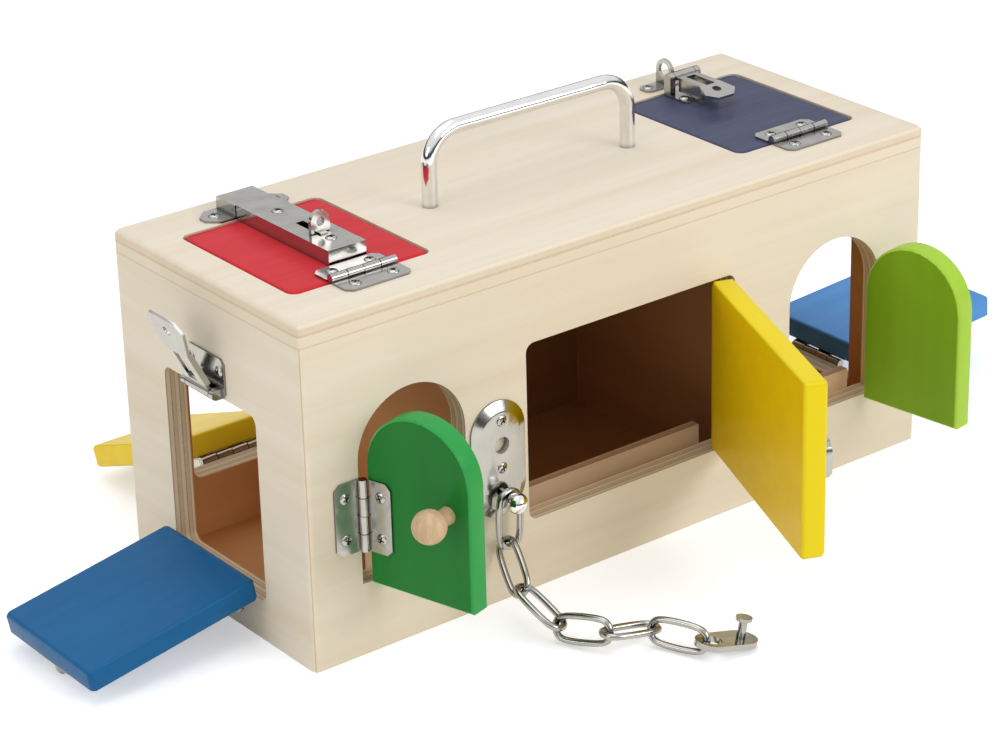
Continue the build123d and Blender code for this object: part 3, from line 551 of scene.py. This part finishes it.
flap_staple = [(x, FLAP_STAPLE_Y, LEAF) for x in both(STAPLE_SCREW_X)]
door_screws = {
    "light_green_door": [(x, y, LEAF) for x in both(BOLT_SCREW_X) for y in LIGHT_GREEN_BOLT_SCREWS],
    "rear_flap": [(x, y, LEAF) for x in both(BOLT_SCREW_X) for y in REAR_BOLT_SCREWS],
    "left_flap": flap_staple,
    "right_flap": flap_staple,
}
lid_screws = {
    "red_lid": [on_top(LOCK_CENTRE, y, LOCK_TOP) for y in LOCK_POSTS_Y],
    "navy_lid": [on_top(LID_CENTRE + x, NAVY_BASE_SCREW_Y, PLATE_TOP) for x in both(NAVY_BASE_SCREW_X)],
}
box_seats = []
for body in doors:
    seats = [on_door(body, x, LEAF_SCREW_Y, LEAF) for x in both(LEAF_SCREW_X)]
    seats += [on_door(body, *spot) for spot in door_screws.get(body, ())]
    seats += lid_screws.get(body, [])
    screws(f"{body}_screws", body, seats)
    box_seats += [on_door(body, x, -LEAF_SCREW_Y, LEAF, True) for x in both(LEAF_SCREW_X)]
for z in ANCHOR_SCREWS_Z:
    box_seats.append((Vector((ANCHOR_CENTRE, ANCHOR_FACE, z)) * MM, X, -Y))
for side in (-1, 1):
    for y in both(END_BASE_SCREW_Y):
        box_seats.append((Vector((side * END_PLATE_X, y, END_BASE_SCREW_Z)) * MM, Y, X * side))
box_seats += [on_top(LID_CENTRE + x, NAVY_STAPLE_SCREW_Y, PLATE_TOP) for x in both(STAPLE_SCREW_X)]
box_seats += [on_top(LOCK_CENTRE + x, LOCK_KEEPER_SCREW_Y, PLATE_TOP) for x in both(LOCK_KEEPER_SCREW_X)]
screws("box_screw_heads", "box", box_seats)

# Turned knob and chain stud, in place of their plainer solids
TURNED_SIDES = 32
BALL_BANDS = 14
NECK_WAIST = 0.94
KNOB_NECK = 4.5
KNOB_NECK_LENGTH = 7.0
KNOB_BALL = 8.5
KNOB_X = -12.5
KNOB_Y = 48.5
STUD_NECK = 2.0
STUD_BALL = 5.5
STUD_REACH = 14.8
STUD_HEIGHT = 60.3
FRONT_FACE = -80.0


def ball_profile(neck, ball, centre):
    """Rings as (radius, height), from the neck's seat up to the ball and over it, to a point on the axis."""
    first = -acos(neck / ball)
    angles = [first + (pi / 2 - first) * band / BALL_BANDS for band in range(BALL_BANDS)]
    over = [(ball * cos(angle), centre + ball * sin(angle)) for angle in angles]
    return [(neck, 0.0), (neck * NECK_WAIST, over[0][1] / 2)] + over + [(0.0, centre + ball)]


def turned(name, body, seat, profile, material):
    """A turned piece from its profile, closed by its seat and by the profile's last point."""
    bm = bmesh.new()
    matrix = seat_matrix(*seat, 0.0)
    rings = [ring(bm, matrix, radius, height, TURNED_SIDES) for radius, height in profile[:-1]]
    for lower, upper in zip(rings, rings[1:]):
        quads(bm, lower, upper)
    tip = bm.verts.new(matrix @ (Vector((0.0, 0.0, profile[-1][1])) * MM))
    last = rings[-1]
    for k in range(TURNED_SIDES):
        bm.faces.new((last[k], last[(k + 1) % TURNED_SIDES], tip))
    bm.faces.new(rings[0])
    return finish_piece(bm, name, body, material)


knob_seat = on_door("green_door", KNOB_X, KNOB_Y, 0.0)
knob_centre = KNOB_NECK_LENGTH + sqrt(KNOB_BALL**2 - KNOB_NECK**2)
knob_profile = ball_profile(KNOB_NECK, KNOB_BALL, knob_centre)
knob = turned("turned_knob", "green_door", knob_seat, knob_profile, beech)
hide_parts("green_knob")
stud_seat = (Vector((ANCHOR_CENTRE, FRONT_FACE, STUD_HEIGHT)) * MM, X, -Y)
stud_profile = ball_profile(STUD_NECK, STUD_BALL, STUD_REACH)
stud = turned("round_stud", "box", stud_seat, stud_profile, chrome)
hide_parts("chain_anchor_stud")

# Floor
FLOOR_HALF = 9
FLOOR_DARK = (0.87, 0.89, 0.93, 1.0)
FLOOR_PALE = (0.89, 0.91, 0.95, 1.0)
WARM_BOUNCE = (0.9, 0.87, 0.79, 1.0)
FLOOR_GLOW = 0.38


def floor_material():
    """A white floor that glows a little where it is seen, and throws a warmer light back on the box."""
    s = Shader("white_floor")
    grain = s.noise(s.place((1.0, 1.0, 1.0)), scale=40.0, detail=3.0, rough=0.5)
    path = s.add("ShaderNodeLightPath").outputs
    shown = s.ramp(grain, (0.3, FLOOR_DARK), (0.7, FLOOR_PALE))
    s.put("Base Color", s.mix(path["Is Camera Ray"], WARM_BOUNCE, shown))
    s.put("Roughness", 0.9)
    s.put("Specular IOR Level", 0.0)
    s.put("Emission Color", WHITE)
    s.put("Emission Strength", s.math("MULTIPLY", s.seen(path), FLOOR_GLOW))
    return s.material


floor_mesh = bpy.data.meshes.new("floor")
floor_corners = [(-1, -1), (1, -1), (1, 1), (-1, 1)]
floor_mesh.from_pydata([(x * FLOOR_HALF, y * FLOOR_HALF, 0) for x, y in floor_corners], [], [(0, 1, 2, 3)])
floor_mesh.materials.append(floor_material())
floor = bpy.data.objects.new("floor", floor_mesh)
scene.collection.objects.link(floor)

# Studio: an even white light, with dark bands near the horizon that only reflections show
SKY_BANDS = ((0.02, 0.9), (0.42, 0.8), (0.48, 0.05), (0.58, 0.08), (0.68, 0.85), (0.98, 1.0))
SKY_LIGHT = 0.62
SKY_SEEN = 1.0
world = bpy.data.worlds.new("studio")
scene.world = world
world.use_nodes = True
sky = Nodes(world.node_tree)
sky.tree.nodes.clear()
height = sky.axes(sky.add("ShaderNodeTexCoord").outputs["Generated"])["Z"]
bands = sky.add("ShaderNodeValToRGB")
for position, level in SKY_BANDS:
    bands.color_ramp.elements.new(position).color = (level, level, level, 1.0)
sky.join(sky.span(height, -1.0, 1.0), bands.inputs["Fac"])
path = sky.add("ShaderNodeLightPath").outputs
background = sky.add("ShaderNodeBackground")
sky.join(sky.mix(path["Is Glossy Ray"], WHITE, bands.outputs["Color"]), background.inputs["Color"])
sky.join(sky.span(sky.seen(path), 0.0, 1.0, SKY_LIGHT, SKY_SEEN), background.inputs["Strength"])
sky.join(background.outputs["Background"], sky.add("ShaderNodeOutputWorld").inputs["Surface"])


def softbox(name, place, aim, size, power):
    light = bpy.data.lights.new(name, "AREA")
    light.shape = "RECTANGLE"
    light.size, light.size_y = size
    light.energy = power
    obj = bpy.data.objects.new(name, light)
    scene.collection.objects.link(obj)
    turn = (Vector(place) - Vector(aim)).normalized().to_track_quat("Z", "Y")
    obj.matrix_world = Matrix.Translation(Vector(place)) @ turn.to_matrix().to_4x4()


softbox("top_light", (-0.2, 0.1, 1.6), aim=(0.0, 0.0, 0.1), size=(1.6, 1.2), power=6.4)
softbox("front_light", (0.7, -1.7, 1.0), aim=(0.0, 0.0, 0.1), size=(1.2, 0.9), power=13.0)
softbox("left_light", (-1.8, -0.1, 0.8), aim=(-0.2, 0.0, 0.1), size=(0.9, 0.7), power=4.0)

# Camera, fitted to the corners of the box in the photo
CAMERA_PLACE = Vector((-0.943306, -1.207327, 0.772905))
CAMERA_TURN = radians(-37.313)
CAMERA_RISE = radians(24.625)
CAMERA_ROLL = radians(-1.514)
camera = bpy.data.cameras.new("camera")
camera.sensor_width = 36.0
camera.lens = 115.94
camera.clip_end = 50.0
view = bpy.data.objects.new("camera", camera)
scene.collection.objects.link(view)
flat_back = Vector((sin(CAMERA_TURN), -cos(CAMERA_TURN), 0.0))
back = flat_back * cos(CAMERA_RISE) + Z * sin(CAMERA_RISE)
right = Vector((cos(CAMERA_TURN), sin(CAMERA_TURN), 0.0))
up = back.cross(right)
rolled_right = right * cos(CAMERA_ROLL) + up * sin(CAMERA_ROLL)
rolled_up = up * cos(CAMERA_ROLL) - right * sin(CAMERA_ROLL)
facing = Matrix((rolled_right, rolled_up, back)).transposed().to_4x4()
view.matrix_world = Matrix.Translation(CAMERA_PLACE) @ facing
scene.camera = view
scene.view_settings.view_transform = "Standard"
